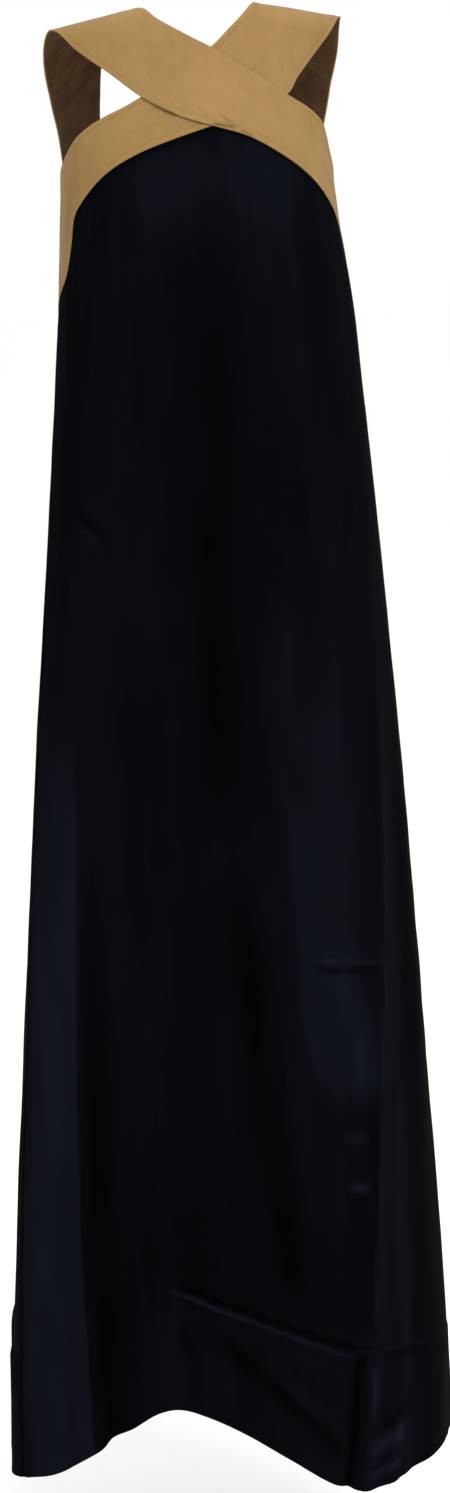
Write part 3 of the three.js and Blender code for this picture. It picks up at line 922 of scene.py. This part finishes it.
# Creases on a band run from (point along, share across) to another; then width and height.
OVER_CREASES = [
    (8.1, 0.02, 8.5, 0.22, 3.0, -1.4),
    (7.55, 0.02, 7.8, 0.18, 2.6, -1.3),
    (8.9, 0.0, 9.9, 0.10, 5.0, 1.6),
    (6.4, 0.55, 9.6, 0.42, 7.0, 0.7),
    (6.8, 0.30, 9.2, 0.22, 6.0, -0.6),
    (9.8, 0.75, 12.2, 0.60, 6.0, 0.7),
    (10.4, 0.35, 12.4, 0.30, 6.0, -0.6),
    (2.2, 0.45, 5.0, 0.55, 7.0, 0.8),
    (3.4, 0.80, 4.6, 0.60, 5.0, -0.8),
    (1.2, 0.25, 3.2, 0.35, 7.0, -0.7),
]
UNDER_CREASES = [
    (7.6, 0.02, 7.2, 0.22, 3.0, -1.0),
    (5.0, 0.55, 7.4, 0.42, 7.0, 0.8),
    (2.4, 0.60, 4.6, 0.50, 7.0, 0.8),
    (3.2, 0.20, 4.6, 0.36, 5.0, -0.7),
    (1.1, 0.30, 2.6, 0.40, 7.0, -0.8),
    (9.8, 0.60, 12.2, 0.55, 6.0, 0.7),
    (10.6, 0.25, 12.4, 0.35, 6.0, -0.6),
]
BACK_BAND_CREASES = [
    (1.2, 0.40, 3.2, 0.55, 7.0, 0.8),
    (3.6, 0.85, 4.1, 0.45, 5.0, 0.9),
    (6.2, 0.85, 5.8, 0.45, 5.0, 0.9),
    (4.4, 0.35, 6.0, 0.30, 8.0, -0.7),
    (6.8, 0.55, 8.9, 0.45, 7.0, 0.8),
]

# Marks of tint in the same form, deeper below 0: painted shadow under the lifted edge just right
# of the peak, painted shade at the bands' low ends, and painted light on the cloth near the
# crossing.
OVER_MARKS = [
    (7.90, 0.02, 7.45, 0.045, 2.0, -2.6),
    (7.20, 0.03, 6.95, 0.02, 1.8, -2.0),
    (7.62, 0.14, 7.30, 0.09, 1.6, -1.0),
    (0.0, 0.3, 1.4, 0.5, 34.0, -0.4),
    (5.8, 0.4, 7.8, 0.5, 42.0, 0.2),
]
UNDER_MARKS = [
    (0.0, 0.3, 2.2, 0.5, 44.0, -0.8),
]
STRAP_CREASES = [
    (0.6, 0.35, 2.6, 0.55, 7.0, 0.8),
    (2.8, 0.65, 4.9, 0.45, 6.0, -0.7),
]


def place_piece(piece, node):
    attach(piece, ROOT)
    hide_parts(node)


CONTACT_DROP = 1.5  # below the upper band's edge


def painted_contact_shadow(turn, drop, place):
    """Painted shadow on the lower band just below the edge of the band that crosses it: a thin dark
    line and a broader soft shade.
    """
    path = [(turn, drop + CONTACT_DROP) for turn, drop in OVER_BAND["low"][PEAK : PEAK + 4]]
    distance, _ = near_path(turn, drop, path)
    seed = SEEDS["painted_contact_shadow"]
    uneven = 0.7 + 0.5 * soft_noise(place * 9, place * 0, seed)
    uneven += 0.3 * soft_noise(place * 25, place * 0, seed + 1)
    return -0.4 * bell(distance, 1.5) * uneven - 0.2 * bell(distance, 9)


def make_band(node, edges, side, creases, marks=(), crossing=None):
    turn, drop, place, across = band_grid(edges, side)
    lift = crossing_lift(place)
    pressed = lift / CROSSING_LIFT if crossing == "over" else 0
    relief, tint = band_relief(turn, drop, place, across, SEEDS[node], creases, marks, pressed)
    if crossing == "over":
        relief = relief + lift
    if crossing == "under":
        tint = tint + painted_contact_shadow(turn, drop, place)
    piece = shell(node + "_cloth", turn, drop, relief, TAN_CLOTH, [TAN, TAN_INSIDE_PAINTED_SHADE], tint)
    place_piece(piece, node)


def make_strap(node, side):
    k = np.linspace(0, 1, STRAP_STEPS + 1)
    across = np.linspace(0, 1, STRAP_ROWS + 1)
    outer, inner = spline(BACK_STRAP["outer"], k), spline(BACK_STRAP["inner"], k)
    grid = outer[:, None] * (1 - across[None, :, None]) + inner[:, None] * across[None, :, None]
    place = STRAP_FOOT + across
    intervals = len(BACK_BAND["high"]) - 1
    foot = spline(BACK_BAND["high"], (place if side > 0 else intervals - place) / intervals)
    if side < 0:
        foot[:, 0] = 360 - foot[:, 0]
    grid += (foot - grid[-1])[None] * (k**2)[:, None, None]
    turn, drop = side * grid[..., 0], grid[..., 1]
    along = (k * (len(BACK_STRAP["outer"]) - 1))[:, None] + 0 * turn
    sideways = across[None, :] + 0 * turn
    relief, tint = band_relief(turn, drop, along, sideways, SEEDS[node], STRAP_CREASES)
    piece = shell(node + "_cloth", turn, drop, relief, TAN_CLOTH, [TAN, TAN_INSIDE_PAINTED_SHADE], tint)
    place_piece(piece, node)


def row_shares(rows):
    """Shares of a panel's length for its rows, closer together at the turned hem's line."""
    fine = np.linspace(0, 1, 2001)
    density = 1 + HEM_LINE_CROWDING * bell(fine - HEM_LINE_SHARE, HEM_LINE_REACH)
    total = np.concatenate([[0], np.cumsum((density[1:] + density[:-1]) / 2)])
    return np.interp(np.linspace(0, 1, rows + 1), total / total[-1], fine)


def make_panel(node, top, seams, rows, folds):
    """A skirt panel from its top edge down to the hem, between two seams at their turns."""
    creases, hem_line, strokes, edges = folds
    m, seed = len(top), SEEDS[node]
    share = row_shares(rows)[None, :, None]
    foot = np.stack([np.linspace(*seams, m), np.full(m, HEM_DROP)], -1)
    grid = top[:, None] * (1 - share) + foot[:, None] * share
    turn, drop = grid[..., 0], grid[..., 1]
    relief = panel_relief(turn, drop, creases, hem_line, seams, seed)
    tone_and_painted_shading = panel_tone_and_painted_shading(turn, drop, strokes, edges, seed + 5)
    piece = shell(node + "_cloth", turn, drop, relief, NAVY_CLOTH, [NAVY, NAVY_INSIDE], tone_and_painted_shading)
    place_piece(piece, node)


def front_top():
    """The front panel's top edge: up the lower band's edge to the peak, down the upper band's."""
    points = len(OVER_BAND["low"]) - 1
    k = np.arange(PEAK * FRONT_TOP_STEPS + 1) / (points * FRONT_TOP_STEPS)
    left, right = spline(UNDER_BAND["low"], k), spline(OVER_BAND["low"], k)
    left[:, 0] *= -1
    lifted = crossing_lift(k * points) / CROSSING_LIFT
    # tucked under where the band stands off, but not at the peak itself
    right[:, 1] -= TUCK * ease((lifted - 0.65) / 0.2) * ease((PEAK - k * points) / 0.25)
    return np.concatenate([left, right[-2::-1]])


back_top = spline(BACK_BAND["low"], np.linspace(0, 1, BACK_TOP_STEPS + 1))
make_panel(
    "front_panel", front_top(), (-90, 90), FRONT_ROWS,
    (FRONT_CREASES, FRONT_HEM_LINE, FRONT_PAINTED_SHADING, FRONT_PAINTED_EDGES),
)
make_panel(
    "back_panel", back_top, (90, 270), BACK_ROWS,
    (BACK_CREASES, BACK_HEM_LINE, BACK_PAINTED_SHADING, BACK_PAINTED_EDGES),
)
make_band("front_band_under", UNDER_BAND, -1, UNDER_CREASES, UNDER_MARKS, "under")
make_band("front_band_over", OVER_BAND, 1, OVER_CREASES, OVER_MARKS, "over")
make_band("back_band", BACK_BAND, 1, BACK_BAND_CREASES)
make_strap("back_strap_left", -1)
make_strap("back_strap_right", 1)


# ======================================================================== studio
FLOOR_HALF = 30.0
FLOOR_GAP = 0.2  # below the lowest point of the hem
LIGHTS = {  # place, target, size and power
    "right": ((3.0, -0.9, 0.0), (0, 0, -1.0), (0.8, 1.8), 10),
    "left": ((-3.0, -0.6, -0.3), (0, 0, -1.0), (0.8, 1.8), 8),
    "top": ((0.3, -1.6, 2.6), (0, 0, -0.9), (1.4, 0.9), 80),
}
AZIMUTH, ELEVATION, ROLL = (math.radians(angle) for angle in (-10.5, 11, 1.4))
CAMERA_TARGET = Vector((0.011, 0, -0.741))
CAMERA_DISTANCE = 3.0
LENS, SENSOR = 70.2, 36


def make_floor():
    mesh = bpy.data.meshes.new("floor")
    level = float(cad_box[0][2]) - FLOOR_GAP
    corners = [(-1, -1), (1, -1), (1, 1), (-1, 1)]
    corners = [(x * FLOOR_HALF, y * FLOOR_HALF, level) for x, y in corners]
    mesh.from_pydata(corners, [], [(0, 1, 2, 3)])
    material, _, _, shader = new_material("pale_floor")
    shader.inputs["Base Color"].default_value = (1.0, 1.0, 1.0, 1)
    shader.inputs["Roughness"].default_value = 0.9
    shader.inputs["Specular IOR Level"].default_value = 0.1
    mesh.materials.append(material)
    floor = bpy.data.objects.new("floor", mesh)
    bpy.context.scene.collection.objects.link(floor)


def area_light(name, place, target, size, power):
    data = bpy.data.lights.new(name, "AREA")
    data.shape = "RECTANGLE"
    data.size, data.size_y = size
    data.energy = power
    light = bpy.data.objects.new(name, data)
    light.location = place
    light.rotation_euler = (Vector(target) - Vector(place)).to_track_quat("-Z", "Y").to_euler()
    bpy.context.scene.collection.objects.link(light)


def make_light():
    world = bpy.data.worlds.new("studio")
    bpy.context.scene.world = world
    world.use_nodes = True
    background = world.node_tree.nodes["Background"]
    background.inputs["Color"].default_value = (1, 1, 1, 1)
    background.inputs["Strength"].default_value = 1.0
    for name, light in LIGHTS.items():
        area_light(name, *light)


def make_camera():
    """The camera stands to the left of the dress, a little below shoulder height."""
    out = math.cos(ELEVATION)
    back = Vector((math.sin(AZIMUTH) * out, -math.cos(AZIMUTH) * out, math.sin(ELEVATION)))
    level = Vector((math.cos(AZIMUTH), math.sin(AZIMUTH), 0))
    upright = back.cross(level)
    right = level * math.cos(ROLL) - upright * math.sin(ROLL)
    up = upright * math.cos(ROLL) + level * math.sin(ROLL)
    data = bpy.data.cameras.new("camera")
    data.sensor_fit = "AUTO"
    data.sensor_width = SENSOR
    data.lens = LENS
    camera = bpy.data.objects.new("camera", data)
    turn = Matrix((right, up, back)).transposed().to_4x4()
    camera.matrix_world = Matrix.Translation(CAMERA_TARGET + back * CAMERA_DISTANCE) @ turn
    bpy.context.scene.collection.objects.link(camera)
    bpy.context.scene.camera = camera


make_floor()
make_light()
make_camera()
bpy.context.scene.view_settings.view_transform = "Standard"
